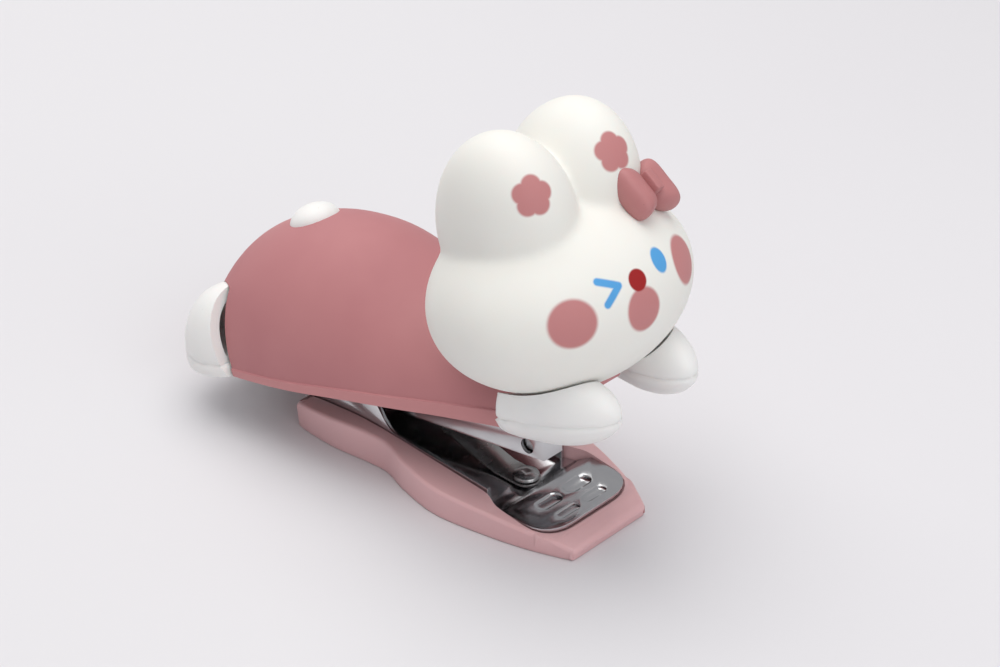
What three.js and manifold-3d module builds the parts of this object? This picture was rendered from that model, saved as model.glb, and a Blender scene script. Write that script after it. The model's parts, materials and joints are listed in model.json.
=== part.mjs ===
// A desk stapler shaped as a lying rabbit, standing on its base in millimetres.
// +X runs from the pivot towards the anvil and the rabbit's face, +Y to the rabbit's left, +Z up.
// The origin is the middle of the base's underside.
import * as THREE from 'three';
import { mergeVertices } from 'three/addons/utils/BufferGeometryUtils.js';
import Module from 'manifold-3d';

const wasm = await Module();
wasm.setup();

const gap = 0.3;                 // clearance between pieces that touch
const degree = Math.PI / 180;

// Pivot and tilts
const pivotX = -28.5;
const pivotZ = 10.5;
const magazineTilt = 9.6;        // nose-up tilt of the magazine at rest, degrees
const pinRadius = 1.5;
const pinHoleRadius = pinRadius + gap;
const pinHeadRadius = 2.6;
const pinHeadThick = 0.8;

// Base
const shoeRearX = -36.2;
const shoeFrontX = 33.5;
const shoeFrontHalfWidth = 9.55;
const sheet = 1.0;               // thickness of the steel channel
const channelFloorTop = 2.8;
const channelHalfWidth = 10.2;
const channelWall = 0.8;
const channelRearX = -32.6;
const channelWallFrontX = 13;
const anvilTop = 4.5;
const anvilHalfWidth = 11.8;
const anvilStepX = 18.3;
const anvilFrontX = 29.2;
const pocketX = 22;
const pocketY = 3.84;
const spreadX = 26.3;
const spreadY = 3.6;
const rivetX = 13;

// Magazine, in its own frame: X along the track from the pivot, Z square to it
const trackHalfWidth = 7;
const trackWall = 0.6;
const trackFloor = -3.7;         // underside of the track
const trackTop = 4.6;
const trackRear = -5;
const trackFront = 52.4;
const slotRear = 50.4;           // rear edge of the slot that the staple leaves by
const rodRadius = 0.6;
const rodZ = 0.2;
const bracketX = 3;
const pusherRear = 43.5;
const pusherFront = 49.9;
const pusherTop = 2.2;

// Handle, inside
const frameSheet = 0.9;
const frameEarHalfWidth = 8.3;
const frameNoseHalfWidth = 5.9;
const frameRearHeight = 5.9;     // underside of the frame above the pivot line at the pivot
const frameFrontHeight = 10;   // and above the driver
const bladeX = 50.9;
const bladeThick = 0.5;
const bladeLean = 4;             // degrees that the blade leans back at rest
const bladeTip = 3.5;
const frameNoseX = 49.5;
const rivetLineX = 46.2;          // the two rivets of the driver
const rivetY = [-3.2, 3.2];
const screwPlaces = [8, 33];     // along the track, where screws hold the shell to the frame

// Rabbit
const rimHeight = 27.5;          // height of the body's rim at rimX
const rimX = 36.3;
const rimSlope = 0.2;
const shellWall = 2;
const shellFrontX = 22.6;
const cavityFrontX = 15;         // ahead of this only the magazine's way is hollow
const deckTop = 33;
const chestFrontX = 31;
const chestUnder = 30.9;
const chestHalfWidth = 5.2;
const headCentre = [20.7, 0, 47.2];
const headRadii = [20.5, 25.7, 16.9];
const headPitch = 10;
const earCentre = [15.4, 7.6, 60.2];
const earRadii = [13.2, 11, 17.4];
const earPitch = -6;
const earRoll = 8.5;
const pawCentre = [29.8, 12, 32.8];
const pawRadii = [13.3, 5.6, 6.9];
const pawToeIn = 12;              // degrees
const pawPitch = 8;
const footCentre = [-48.1, 15.6, 13.5];
const footRadii = [10.6, 9.4, 12.2];
const footFaceX = -42.1;          // where the foot's front face meets the rim
const footFaceLean = 0.5;         // run back per rise
const bossRadius = 3;
const screwHoleRadius = 1.15;
const headScrewX = 12;
const tailCentre = [-41.6, 0, 36.5];
const tailRadii = [5.2, 5.3, 3.6];
const tailPitch = 27;
const bowCentre = [28.9, 12.8, 63.6];
const bowOut = new THREE.Vector3(0.55, 0.28, 0.79).normalize();
const headWall = 2.4;

// ---- solids -------------------------------------------------------------------------------

function toSolid(geometry) {
  const bare = geometry.clone();
  bare.deleteAttribute('normal');
  bare.deleteAttribute('uv');
  const merged = mergeVertices(bare, 1e-4);
  return new wasm.Manifold(new wasm.Mesh({
    numProp: 3,
    vertProperties: new Float32Array(merged.attributes.position.array),
    triVerts: new Uint32Array(merged.index.array),
  }));
}

function toGeometry(solid) {
  const mesh = solid.getMesh();
  const geometry = new THREE.BufferGeometry();
  geometry.setAttribute('position', new THREE.BufferAttribute(mesh.vertProperties, 3));
  geometry.setIndex(new THREE.BufferAttribute(mesh.triVerts, 1));
  return geometry;
}

function box(x0, x1, y0, y1, z0, z1) {
  const geometry = new THREE.BoxGeometry(x1 - x0, y1 - y0, z1 - z0);
  return toSolid(geometry.translate((x0 + x1) / 2, (y0 + y1) / 2, (z0 + z1) / 2));
}

// A cylinder along Y, from y0 to y1, centred on x and z.
function rodAlongY(radius, y0, y1, x, z, sides = 24) {
  const geometry = new THREE.CylinderGeometry(radius, radius, y1 - y0, sides);
  return toSolid(geometry.translate(x, (y0 + y1) / 2, z));
}

function rodAlongZ(radius, z0, z1, x, y, sides = 20) {
  const geometry = new THREE.CylinderGeometry(radius, radius, z1 - z0, sides);
  return toSolid(geometry.rotateX(Math.PI / 2).translate(x, y, (z0 + z1) / 2));
}

function rodAlongX(radius, x0, x1, y, z, sides = 16) {
  const geometry = new THREE.CylinderGeometry(radius, radius, x1 - x0, sides);
  return toSolid(geometry.rotateZ(Math.PI / 2).translate((x0 + x1) / 2, y, z));
}

// An outline in X and Z, drawn out along Y from y0 to y1.
function acrossY(outline, y0, y1, curveSegments = 8) {
  const geometry = new THREE.ExtrudeGeometry(outline, { depth: y1 - y0, bevelEnabled: false, curveSegments });
  return toSolid(geometry.rotateX(Math.PI / 2).translate(0, y1, 0));
}

// An outline in X and Y, drawn up from z0 to z1.
function upZ(outline, z0, z1, curveSegments = 8) {
  const geometry = new THREE.ExtrudeGeometry(outline, { depth: z1 - z0, bevelEnabled: false, curveSegments });
  return toSolid(geometry.translate(0, 0, z0));
}

function polygon(points) {
  return new THREE.Shape(points.map(([x, y]) => new THREE.Vector2(x, y)));
}

// An ellipsoid, pitched nose-up and rolled out to +Y, grown by a margin.
function ellipsoid(centre, radii, { pitch = 0, roll = 0, grow = 0, around = 24, down = 16 } = {}) {
  const geometry = new THREE.SphereGeometry(1, around, down);
  geometry.rotateX(Math.PI / 2).scale(radii[0] + grow, radii[1] + grow, radii[2] + grow);
  geometry.rotateY(-pitch * degree).rotateX(-roll * degree).translate(...centre);
  return toSolid(geometry);
}

function mirrored(centre, side) {
  return [centre[0], side * centre[1], centre[2]];
}

function joinAll(solids) {
  return solids.reduce((whole, next) => whole.add(next));
}

// ---- finishes and nodes -------------------------------------------------------------------

const finish = {
  base: { color: 0xe0a3a6, roughness: 0.5, metalness: 0 },
  body: { color: 0xb9777c, roughness: 0.72, metalness: 0 },
  white: { color: 0xf1ece6, roughness: 0.62, metalness: 0 },
  bow: { color: 0xc27a80, roughness: 0.6, metalness: 0 },
  chrome: { color: 0xc9ccd0, roughness: 0.16, metalness: 1 },
  steel: { color: 0x9b9ea2, roughness: 0.35, metalness: 1 },
  spring: { color: 0x8b8e92, roughness: 0.3, metalness: 1 },
};

const stapler = new THREE.Group();
const track = new THREE.Group();   // the magazine's own frame, tilted at the pivot
track.position.set(pivotX, 0, pivotZ);
track.rotation.y = -magazineTilt * degree;
stapler.add(track);

function addNode(parent, name, solid, finishName) {
  const material = new THREE.MeshStandardMaterial(finish[finishName]);
  const geometry = solid.isBufferGeometry ? solid : toGeometry(solid);
  const mesh = new THREE.Mesh(geometry, material);
  mesh.name = name;
  parent.add(mesh);
}

// ---- base ---------------------------------------------------------------------------------

// Half the base's plan, from the rear to the front: a waist ahead of the pivot, widest amidships.
const shoeSide = [
  [-34.6, 12.6], [-32.5, 14.1], [-23.5, 14.5], [-15, 13.5], [-9.8, 13.4], [-3.5, 15.3],
  [5.5, 16.7], [15.5, 15.3], [24.3, 13.2], [30.7, 10.9],
];

function shoePlan() {
  const plan = new THREE.Shape();
  const sidePoints = (side) => shoeSide.map(([x, y]) => new THREE.Vector2(x, side * y));
  plan.moveTo(shoeRearX, -8);
  plan.splineThru(sidePoints(-1));
  plan.quadraticCurveTo(32.6, -10.1, shoeFrontX, -shoeFrontHalfWidth);
  plan.lineTo(shoeFrontX, shoeFrontHalfWidth);
  plan.quadraticCurveTo(32.6, 10.1, 30.7, 10.9);
  plan.splineThru(sidePoints(1).reverse().slice(1));
  plan.quadraticCurveTo(shoeRearX, 11, shoeRearX, 8);
  return plan;
}

function shoeProfile() {
  const profile = new THREE.Shape();
  profile.moveTo(-40, 0);
  profile.lineTo(40, 0);
  profile.lineTo(40, 2.3);
  profile.lineTo(shoeFrontX, 2.3);
  profile.lineTo(30.2, 3.5);
  profile.splineThru([[18, 5], [5, 6], [-10, 6.8], [-20, 6.9], [-30, 6]].map((p) => new THREE.Vector2(...p)));
  profile.quadraticCurveTo(shoeRearX + 1, 5.4, shoeRearX - 0.2, 3);
  profile.lineTo(-40, 3);
  return profile;
}

// Plan of the channel and its anvil, grown by a margin for the recess that takes it.
function channelPlan(grow) {
  const side = channelHalfWidth + grow;
  const wide = anvilHalfWidth + grow;
  const front = anvilFrontX + grow;
  const plan = new THREE.Shape();
  plan.moveTo(channelRearX - grow, -side);
  plan.lineTo(channelWallFrontX - 1, -side);
  plan.bezierCurveTo(channelWallFrontX + 2, -side, 15, -wide, anvilStepX, -wide);
  plan.lineTo(anvilFrontX - 5.5, -wide);
  plan.bezierCurveTo(front - 2, -wide, front, -9, front, -5.4);
  plan.lineTo(front, 5.4);
  plan.bezierCurveTo(front, 9, front - 2, wide, anvilFrontX - 5.5, wide);
  plan.lineTo(anvilStepX, wide);
  plan.bezierCurveTo(15, wide, channelWallFrontX + 2, side, channelWallFrontX - 1, side);
  plan.lineTo(channelRearX - grow, side);
  return plan;
}

// The channel's floor seen from the side: low under the magazine, stepped up to the anvil.
function floorProfile(under, over, rear, front) {
  const stepFrom = anvilStepX - 3;
  return polygon([
    [rear, channelFloorTop - under], [stepFrom, channelFloorTop - under],
    [anvilStepX, anvilTop - under], [front, anvilTop - under],
    [front, anvilTop + over], [anvilStepX, anvilTop + over],
    [stepFrom, channelFloorTop + over], [rear, channelFloorTop + over],
  ]);
}

// One side wall with the ear that holds the pivot pin.
function channelSide() {
  const bottom = channelFloorTop - sheet;
  const side = new THREE.Shape();
  side.moveTo(channelRearX, bottom);
  side.lineTo(channelWallFrontX, bottom);
  side.lineTo(channelWallFrontX, 6);
  side.lineTo(-10.5, 6.9);
  side.bezierCurveTo(-13, 7, -14, 10, -16.5, 12.5);
  side.quadraticCurveTo(-19, 15, -23, 15.2);
  side.lineTo(-29, 15.4);
  side.quadraticCurveTo(channelRearX, 15, channelRearX, 11);
  return side;
}

// The pockets that fold a staple's legs in, and the shallow pair ahead that spreads them out.
function anvilPockets() {
  const pockets = [];
  for (const side of [-1, 1]) {
    for (const [x, y, radius, long, deep] of [[pocketX, pocketY, 1.55, 3.3, 0.6], [spreadX, spreadY, 1.1, 3.6, 0.3]]) {
      const pocket = new THREE.CapsuleGeometry(radius, long, 4, 12);
      pockets.push(toSolid(pocket.scale(1, 1, deep / radius).translate(x, side * y, anvilTop)));
    }
  }
  return joinAll(pockets);
}

function addBase() {
  const depth = 10;
  const recess = upZ(channelPlan(gap), -1, 20, 6)
    .intersect(acrossY(floorProfile(sheet + gap, 20, -40, 40), -20, 20));
  const shoe = upZ(shoePlan(), 0, depth, 5).intersect(acrossY(shoeProfile(), -20, 20, 6)).subtract(recess);
  addNode(stapler, 'base_shoe', shoe, 'base');

  const inside = channelHalfWidth - channelWall;
  const floor = upZ(channelPlan(0), -1, 20, 6).intersect(acrossY(floorProfile(sheet, 0, -40, 40), -20, 20));
  const walls = acrossY(channelSide(), -channelHalfWidth, -inside).add(
    acrossY(channelSide(), inside, channelHalfWidth));
  const channel = floor.add(walls)
    .subtract(rodAlongY(pinHoleRadius, -20, 20, pivotX, pivotZ))
    .subtract(rodAlongZ(1.5, 0, 6, rivetX, 0))
    .subtract(anvilPockets());
  addNode(stapler, 'base_channel', channel, 'chrome');

  const pinEnd = channelHalfWidth + gap;
  const pin = joinAll([
    rodAlongY(pinRadius, -pinEnd - 0.1, pinEnd + 0.1, pivotX, pivotZ),
    rodAlongY(pinHeadRadius, pinEnd, pinEnd + pinHeadThick, pivotX, pivotZ),
    rodAlongY(pinHeadRadius, -pinEnd - pinHeadThick, -pinEnd, pivotX, pivotZ),
  ]);
  addNode(stapler, 'pivot_pin', pin, 'steel');
}

// The leaf spring lies on the floor at its rivet and curves up under the magazine.
function addLeafSpring() {
  const thick = 0.5;
  const halfWidth = 2.75;
  const lie = channelFloorTop + gap;
  const line = [[16, lie], [7.5, lie], [0, lie + 1.8], [-8, lie + 3.6], [-15, lie + 4.3], [-19, lie + 4.2]];
  const lower = new THREE.SplineCurve(line.slice(1).map((p) => new THREE.Vector2(...p))).getPoints(12);
  const side = new THREE.Shape();
  side.moveTo(...line[0]);
  lower.forEach((p) => side.lineTo(p.x, p.y));
  [...lower].reverse().forEach((p) => side.lineTo(p.x, p.y + thick));
  side.lineTo(line[0][0], lie + thick);
  const plan = new THREE.Shape();
  plan.moveTo(-20, -halfWidth);
  plan.lineTo(rivetX, -halfWidth);
  plan.absarc(rivetX, 0, halfWidth, -Math.PI / 2, Math.PI / 2);
  plan.lineTo(-20, halfWidth);
  const strip = acrossY(side, -5, 5).intersect(upZ(plan, 0, 15)).subtract(rodAlongZ(1.5, 0, 6, rivetX, 0));
  addNode(stapler, 'leaf_spring', strip, 'spring');

  const underside = channelFloorTop - sheet;
  const headBottom = lie + thick + gap;
  const rivet = new THREE.LatheGeometry([
    [0, underside], [1.2, underside], [1.2, headBottom], [2.6, headBottom], [2.4, headBottom + 0.55],
    [1.5, headBottom + 0.85], [0.6, headBottom + 0.85], [0, headBottom + 0.55],
  ].map((p) => new THREE.Vector2(...p)), 24);
  addNode(stapler, 'spring_rivet', toSolid(rivet.rotateX(Math.PI / 2).translate(rivetX, 0, 0)), 'steel');
}

// ---- magazine -----------------------------------------------------------------------------

function trackSide() {
  const side = new THREE.Shape();
  side.moveTo(trackRear + 2, trackFloor);
  side.lineTo(trackFront, trackFloor);
  side.lineTo(trackFront, 1.5);
  side.lineTo(trackFront - 0.9, trackTop);
  side.lineTo(trackRear + 3, trackTop);
  side.quadraticCurveTo(trackRear, trackTop, trackRear, 0);
  side.quadraticCurveTo(trackRear, trackFloor, trackRear + 2, trackFloor);
  return side;
}

function addMagazine() {
  const inner = trackHalfWidth - trackWall;
  const floorTop = trackFloor + trackWall;
  const tabInner = 2.3;
  const sides = [-1, 1].map((side) => acrossY(
    trackSide(), Math.min(side * inner, side * trackHalfWidth), Math.max(side * inner, side * trackHalfWidth)));
  const frontTabs = [-1, 1].map((side) => box(
    trackFront - trackWall, trackFront,
    Math.min(side * tabInner, side * inner), Math.max(side * tabInner, side * inner), trackFloor, 1.2));
  const magazine = joinAll([
    ...sides, ...frontTabs,
    box(trackRear + 4, slotRear, -inner - 0.1, inner + 0.1, trackFloor, floorTop),
    box(bracketX, bracketX + 0.8, -2.5, 2.5, floorTop - 0.1, rodZ + 1.8),
  ])
    .subtract(rodAlongY(pinHoleRadius, -10, 10, 0, 0))
    .subtract(rodAlongX(rodRadius + gap, bracketX - 1, bracketX + 2, 0, rodZ))
    .subtract(rodAlongY(1.45, -10, 10, 48.5, -1.75));
  addNode(track, 'magazine', magazine, 'chrome');

  const rod = rodAlongX(rodRadius, bracketX - 0.6, 49, 0, rodZ, 12);
  addNode(track, 'guide_rod', rod.add(rodAlongX(1.05, bracketX - 1, bracketX - gap, 0, rodZ, 12)), 'steel');

  const wide = inner - gap;
  const pusher = joinAll([
    box(pusherRear, pusherFront, -wide, wide, 1.2, pusherTop),
    box(pusherRear, pusherFront, -wide, -wide + 1.2, floorTop + gap, 1.9),
    box(pusherRear, pusherFront, wide - 1.2, wide, floorTop + gap, 1.9),
    box(pusherRear, pusherRear + 1.2, -wide, wide, floorTop + gap, 2),
    box(pusherRear, pusherFront, -2.2, 2.2, -1.9, 2),
  ]).subtract(rodAlongX(rodRadius + gap, pusherRear - 1, pusherFront + 1, 0, rodZ));
  addNode(track, 'pusher', pusher, 'steel');
}

// A coil of round wire along +X, wound from start to end.
class Helix extends THREE.Curve {
  constructor(radius, turns, start, end) {
    super();
    Object.assign(this, { radius, turns, start, end });
  }

  getPoint(t) {
    const angle = t * this.turns * 2 * Math.PI;
    return new THREE.Vector3(
      this.start + (this.end - this.start) * t, this.radius * Math.cos(angle), this.radius * Math.sin(angle));
  }
}

function wireSection(radius, sides) {
  const section = new THREE.Shape();
  for (let i = 0; i < sides; i += 1) {
    const angle = (i / sides) * 2 * Math.PI;
    section[i ? 'lineTo' : 'moveTo'](radius * Math.cos(angle), radius * Math.sin(angle));
  }
  return section;
}

function addSprings() {
  const turns = 14;
  const coil = new THREE.ExtrudeGeometry(wireSection(0.22, 5), {
    steps: turns * 9, extrudePath: new Helix(1.35, turns, bracketX + 1.4, pusherRear - 0.6),
  });
  addNode(track, 'pusher_spring', toSolid(coil.translate(0, 0, rodZ)), 'spring');

  // The return spring is wound round the pin, one leg on the track's floor and one under the frame.
  const wire = 0.35;
  const coilRadius = pinRadius + gap + wire + 0.1;
  const loops = 2;
  const y0 = 3.2;
  const points = [new THREE.Vector3(8, y0, trackFloor + trackWall + gap + wire)];
  const perTurn = 12;
  for (let i = 0; i <= loops * perTurn + perTurn / 2; i += 1) {
    const angle = -Math.PI / 2 - (i / perTurn) * 2 * Math.PI;
    points.push(new THREE.Vector3(
      coilRadius * Math.cos(angle), y0 + (i / perTurn) * (2 * wire + 0.12), coilRadius * Math.sin(angle)));
  }
  const last = points.at(-1);
  points.push(new THREE.Vector3(9, last.y + 0.1, frameRearHeight + 0.09 * 9 - gap - wire));
  const returnCoil = new THREE.ExtrudeGeometry(wireSection(wire, 5), {
    steps: points.length + 8, extrudePath: new THREE.CatmullRomCurve3(points, false, 'centripetal'),
  });
  addNode(track, 'return_spring', toSolid(returnCoil), 'spring');
}

// ---- handle, inside -----------------------------------------------------------------------

const frameSlope = (frameFrontHeight - frameRearHeight) / bladeX;
const frameUnder = (x) => frameRearHeight + frameSlope * x;

function framePlan() {
  const plan = new THREE.Shape();
  plan.moveTo(-3.6, -frameEarHalfWidth);
  plan.lineTo(14, -frameEarHalfWidth);
  plan.lineTo(18, -frameNoseHalfWidth);
  plan.lineTo(frameNoseX, -frameNoseHalfWidth);
  plan.lineTo(frameNoseX, frameNoseHalfWidth);
  plan.lineTo(18, frameNoseHalfWidth);
  plan.lineTo(14, frameEarHalfWidth);
  plan.lineTo(-3.6, frameEarHalfWidth);
  return plan;
}

function addHandleFrame() {
  const inner = frameEarHalfWidth - 0.8;
  const plate = acrossY(polygon([
    [-4, frameUnder(-4)], [bladeX, frameUnder(bladeX)],
    [bladeX, frameUnder(bladeX) + frameSheet], [-4, frameUnder(-4) + frameSheet],
  ]), -20, 20).intersect(upZ(framePlan(), 0, 30));
  const ear = new THREE.Shape();
  ear.moveTo(-3.6, frameUnder(-3.6) + 0.4);
  ear.lineTo(-3.6, 0);
  ear.absarc(0, 0, 3.6, Math.PI, 1.75 * Math.PI);
  ear.lineTo(13.6, 3.4);
  ear.lineTo(13.6, frameUnder(13.6) + 0.4);
  let frame = joinAll([plate, acrossY(ear, -frameEarHalfWidth, -inner), acrossY(ear, inner, frameEarHalfWidth)])
    .subtract(rodAlongY(pinHoleRadius, -20, 20, 0, 0));
  for (const x of screwPlaces) frame = frame.subtract(rodAlongZ(1.3, 0, 30, x, 0));
  for (const y of rivetY) frame = frame.subtract(rodAlongZ(1.1, 0, 30, rivetLineX, y));
  addNode(track, 'handle_frame', frame, 'steel');
}

// The driver's tab is riveted on top of the frame's nose; the blade leans back by a few degrees.
function addDriver() {
  const halfWidth = 6.1;
  const tabRear = rivetLineX - 2.4;
  const tabUnder = (x) => frameUnder(x) + frameSheet + 0.25;
  const topX = bladeX - (tabUnder(bladeX) - bladeTip) * Math.tan(bladeLean * degree);
  const profile = polygon([
    [bladeX - bladeThick / 2, bladeTip], [bladeX + bladeThick / 2, bladeTip],
    [topX + bladeThick / 2, tabUnder(topX) + bladeThick], [tabRear, tabUnder(tabRear) + bladeThick],
    [tabRear, tabUnder(tabRear)], [topX - bladeThick / 2, tabUnder(topX)],
  ]);
  let driver = acrossY(profile, -halfWidth, halfWidth);
  for (const y of rivetY) driver = driver.subtract(rodAlongZ(1.1, 0, 30, rivetLineX, y));
  addNode(track, 'driver_blade', driver, 'steel');

  const headThick = 0.4;
  const low = frameUnder(rivetLineX) - 0.35;
  const high = tabUnder(rivetLineX) + bladeThick + 0.35;
  rivetY.forEach((y, i) => {
    const rivet = joinAll([
      rodAlongZ(0.8, low - 0.1, high + 0.1, rivetLineX, y, 12),
      rodAlongZ(1.5, low - headThick, low, rivetLineX, y, 12),
      rodAlongZ(1.5, high, high + headThick, rivetLineX, y, 12),
    ]);
    addNode(track, i ? 'driver_rivet_left' : 'driver_rivet_right', rivet, 'steel');
  });
}

// ---- rabbit -------------------------------------------------------------------------------

const rimAt = (x) => rimHeight + rimSlope * (x - rimX);

// Stations along the body: x, half-width at the rim, height of the back.
const bodyStations = [
  [-57.8, 9, 19.4], [-56.5, 14, 25.2], [-53.7, 18.4, 29.8], [-49.8, 21.1, 33.2], [-43, 22.3, 36.8],
  [-35, 22.3, 39.2], [-26, 21.6, 40.2], [-15, 19.6, 38.6], [-4, 17.7, 35.9], [8, 15.4, 34.6], [23, 13, 34.2],
];
const bodyCurve = new THREE.CatmullRomCurve3(bodyStations.map((s) => new THREE.Vector3(...s)));

// A closed loft of the body: arched sections over a flat underside, shrunk by inset and sunk by sink.
function bodyLoft(inset, sink, rings = 20, around = 28) {
  const geometry = new THREE.CylinderGeometry(1, 1, 1, around, rings);
  const position = geometry.attributes.position;
  for (let i = 0; i < position.count; i += 1) {
    const t = 0.5 + position.getY(i);
    const [across, up] = [position.getX(i), position.getZ(i)];
    const station = bodyCurve.getPoint(t);
    const rim = rimAt(station.x);
    const half = station.y - inset;
    const rise = station.z - inset - rim;
    const centre = Math.hypot(across, up) < 0.5;
    const x = station.x + (t === 0 ? inset : 0);
    const z = centre ? rim : rim + Math.max(up, 0) * rise - (up < -1e-6 ? sink : 0);
    position.setXYZ(i, x, -across * half, z);
  }
  return toSolid(geometry);
}

// A rod square to the track at a place along it, given in the stapler's own frame.
function trackRod(radius, low, high, x, sides = 20) {
  const rod = new THREE.CylinderGeometry(radius, radius, high - low, sides);
  rod.rotateX(Math.PI / 2).translate(x, 0, (low + high) / 2);
  return toSolid(rod.rotateY(-magazineTilt * degree).translate(pivotX, 0, pivotZ));
}

function head(grow) {
  return ellipsoid(headCentre, headRadii, { pitch: headPitch, grow, around: 32, down: 20 });
}

function ear(side, grow) {
  return ellipsoid(mirrored(earCentre, side), earRadii, { pitch: earPitch, roll: side * earRoll, grow });
}

// A paw is round at the toes and blunt behind, where it joins the body.
function paw(side, grow) {
  const geometry = new THREE.SphereGeometry(1, 20, 14).rotateZ(Math.PI / 2);
  const position = geometry.attributes.position;
  for (let i = 0; i < position.count; i += 1) {
    const back = Math.min(Math.max(-position.getX(i), 0), 1);
    const width = Math.sqrt(1 - back ** 2);
    const blunt = width > 1e-4 ? Math.sqrt(1 - back ** 4) / width : 1;
    position.setXYZ(i, position.getX(i), position.getY(i) * blunt, position.getZ(i) * blunt);
  }
  geometry.scale(pawRadii[0] + grow, pawRadii[1] + grow, pawRadii[2] + grow);
  geometry.rotateY(-pawPitch * degree).rotateZ(-side * pawToeIn * degree);
  return toSolid(geometry.translate(...mirrored(pawCentre, side)));
}

// A rear foot ends in a flat face that leans back from the rim.
function foot(side, grow) {
  const low = rimAt(footFaceX);
  const face = (z) => footFaceX - (z - low) * footFaceLean + grow;
  const behind = acrossY(polygon([[-80, -10], [face(-10), -10], [face(60), 60], [-80, 60]]), -40, 40);
  return ellipsoid(mirrored(footCentre, side), footRadii, { grow, around: 24, down: 14 }).intersect(behind);
}

const aboveRim = (grow) => acrossY(polygon([
  [-80, rimAt(-80) - grow], [60, rimAt(60) - grow], [60, 90], [-80, 90]]), -40, 40);

function addShell() {
  const front = box(-80, shellFrontX, -40, 40, -10, 90);
  const outer = bodyLoft(0, 0).intersect(front);
  const cavity = bodyLoft(shellWall, 12).intersect(box(-80, cavityFrontX, -40, 40, -20, deckTop - shellWall))
    .add(bodyLoft(shellWall, 12).intersect(box(-80, -6, -40, 40, -20, 90)));
  const way = trackHalfWidth + 2 * gap;
  const noseWay = box(0, 40, -way, way, 0, deckTop - shellWall);
  const chest = box(shellFrontX - 3, chestFrontX, -chestHalfWidth, chestHalfWidth, chestUnder, deckTop)
    .subtract(paw(-1, gap)).subtract(paw(1, gap));
  let shell = outer.subtract(cavity).subtract(noseWay).add(chest);
  for (const x of screwPlaces) {
    const boss = trackRod(bossRadius, frameUnder(x) + frameSheet + gap + 0.1 * bossRadius, 40, x);
    shell = shell.add(boss.intersect(bodyLoft(0.5, 0)));
  }
  shell = shell.subtract(head(gap).intersect(box(-40, 60, -40, 40, deckTop, 90)));
  for (const side of [-1, 1]) shell = shell.subtract(foot(side, gap));
  for (const x of screwPlaces) shell = shell.subtract(trackRod(screwHoleRadius, -10, frameUnder(x) + 8, x));
  shell = shell.subtract(rodAlongZ(1.4, 20, deckTop + 1, headScrewX, 0));
  addNode(stapler, 'body_shell', shell, 'body');
}

function addHead() {
  const inside = head(-headWall);
  const boss = rodAlongZ(3, deckTop + gap, 60, headScrewX, 0).intersect(head(-1));
  const mouth = rodAlongZ(7, 20, 40, headCentre[0] + 5, 0);
  const above = box(-40, 80, -60, 60, deckTop + gap, 90);
  const shell = head(0).subtract(inside).intersect(above).subtract(mouth).add(boss)
    .subtract(rodAlongZ(screwHoleRadius, 20, deckTop + 9, headScrewX, 0));
  addNode(stapler, 'head_shell', shell, 'white');

  const screw = joinAll([
    rodAlongZ(0.85, deckTop - shellWall - 0.5, deckTop + 8, headScrewX, 0, 12),
    rodAlongZ(2, deckTop - shellWall - gap - 1, deckTop - shellWall - gap, headScrewX, 0, 16),
  ]);
  addNode(stapler, 'head_screw', screw, 'steel');

  for (const [name, side] of [['ear_right', -1], ['ear_left', 1]]) {
    const half = side < 0 ? box(-60, 60, -60, -gap / 2, 0, 120) : box(-60, 60, gap / 2, 60, 0, 120);
    addNode(stapler, name, ear(side, 0).intersect(half).subtract(head(gap)), 'white');
  }
}

// The bow lies against the ear's root, in a frame of its own: X down its height, Y across, Z out.

function bowPiece(offset, radii, grow = 0) {
  const across = new THREE.Vector3(0, 1, 0).addScaledVector(bowOut, -bowOut.y).normalize();
  const basis = new THREE.Matrix4().makeBasis(new THREE.Vector3().crossVectors(across, bowOut), across, bowOut);
  const geometry = new THREE.SphereGeometry(1, 16, 10);
  geometry.scale(radii[0] + grow, radii[1] + grow, radii[2] + grow).translate(...offset);
  return toSolid(geometry.applyMatrix4(basis).translate(...bowCentre));
}

function addBow() {
  const clear = (solid) => solid.subtract(head(gap)).subtract(ear(1, gap));
  const knot = [[0, 0, 0.3], [2, 1.7, 2.6]];
  addNode(stapler, 'bow_knot', clear(bowPiece(...knot)), 'bow');
  for (const [name, side] of [['bow_loop_inner', -1], ['bow_loop_outer', 1]]) {
    const loop = bowPiece([0, side * 3.5, 0], [5.2, 3, 2.7]);
    addNode(stapler, name, clear(loop).subtract(bowPiece(...knot, gap)), 'bow');
  }
}

function addLimbs() {
  const grownBody = bodyLoft(-gap, 0);
  for (const [end, side] of [['right', -1], ['left', 1]]) {
    const pawSolid = paw(side, 0).intersect(box(shellFrontX + gap, 80, -40, 40, 0, 90)).subtract(head(gap));
    addNode(stapler, `paw_front_${end}`, pawSolid, 'white');
    addNode(stapler, `foot_rear_${end}`, foot(side, 0).intersect(aboveRim(0)), 'white');
  }
  const button = ellipsoid(tailCentre, tailRadii, { pitch: tailPitch, around: 20, down: 12 });
  addNode(stapler, 'tail_button', button.subtract(grownBody), 'white');
}

function addShellScrews() {
  for (const [name, x] of [['shell_screw_rear', screwPlaces[0]], ['shell_screw_front', screwPlaces[1]]]) {
    const under = frameUnder(x) - gap - 0.2;
    const screw = trackRod(0.8, under - 0.5, frameUnder(x) + 7, x, 12)
      .add(trackRod(2, under - 0.9, under, x, 16));
    addNode(stapler, name, screw, 'steel');
  }
}

addBase();
addLeafSpring();
addMagazine();
addSprings();
addHandleFrame();
addDriver();
addShellScrews();
addShell();
addHead();
addBow();
addLimbs();

export default stapler;
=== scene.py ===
import json
import math
import bpy
from mathutils import Matrix, Vector


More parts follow.
